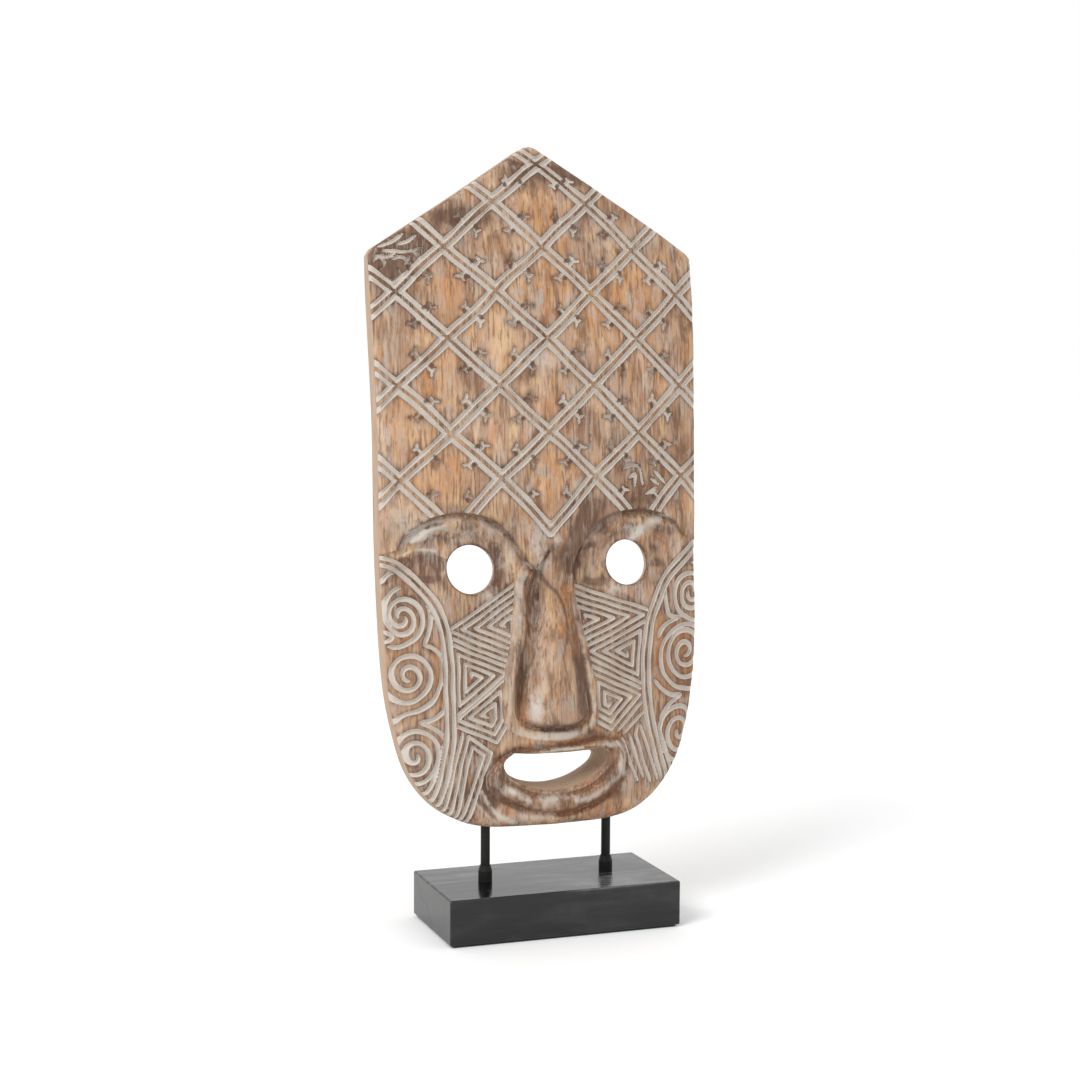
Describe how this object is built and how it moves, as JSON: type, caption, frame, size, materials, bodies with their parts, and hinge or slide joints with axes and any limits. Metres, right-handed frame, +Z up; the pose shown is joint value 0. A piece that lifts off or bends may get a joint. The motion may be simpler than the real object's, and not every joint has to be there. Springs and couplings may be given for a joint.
{
  "type": "carved mask on stand",
  "caption": "Tall carved wooden face mask with a gabled top, pierced eyes and mouth, held upright by two pins on a rectangular black base.",
  "frame": {"origin": "centre of the base's underside, on the surface that the stand rests on", "axes": "+Z up, -Y the way the face looks, +X to the viewer's right"},
  "size_m": [0.2558, 0.101, 0.5792],
  "materials": {
    "carved_wood": "waxed, with a grey-white wash in the carving",
    "stained_wood": "black stain, satin",
    "black_steel": "black lacquer, satin",
    "zinc_steel": "zinc plated",
    "felt": "pressed felt"
  },
  "bodies": {
    "stand": {"base_block": "stained_wood", "felt_lining": "felt", "pin_left": "black_steel", "pin_right": "black_steel", "collar_left": "black_steel", "collar_right": "black_steel", "washer_left": "zinc_steel", "washer_right": "zinc_steel", "nut_left": "zinc_steel", "nut_right": "zinc_steel"},
    "mask": {"mask_board_left": "carved_wood", "mask_board_right": "carved_wood"}
  },
  "joints": [
    {"name": "mask_lift", "type": "slide", "parent": "stand", "child": "mask", "axis": [0, 0, 1], "range_m": [0, 0.05]}
  ]
}
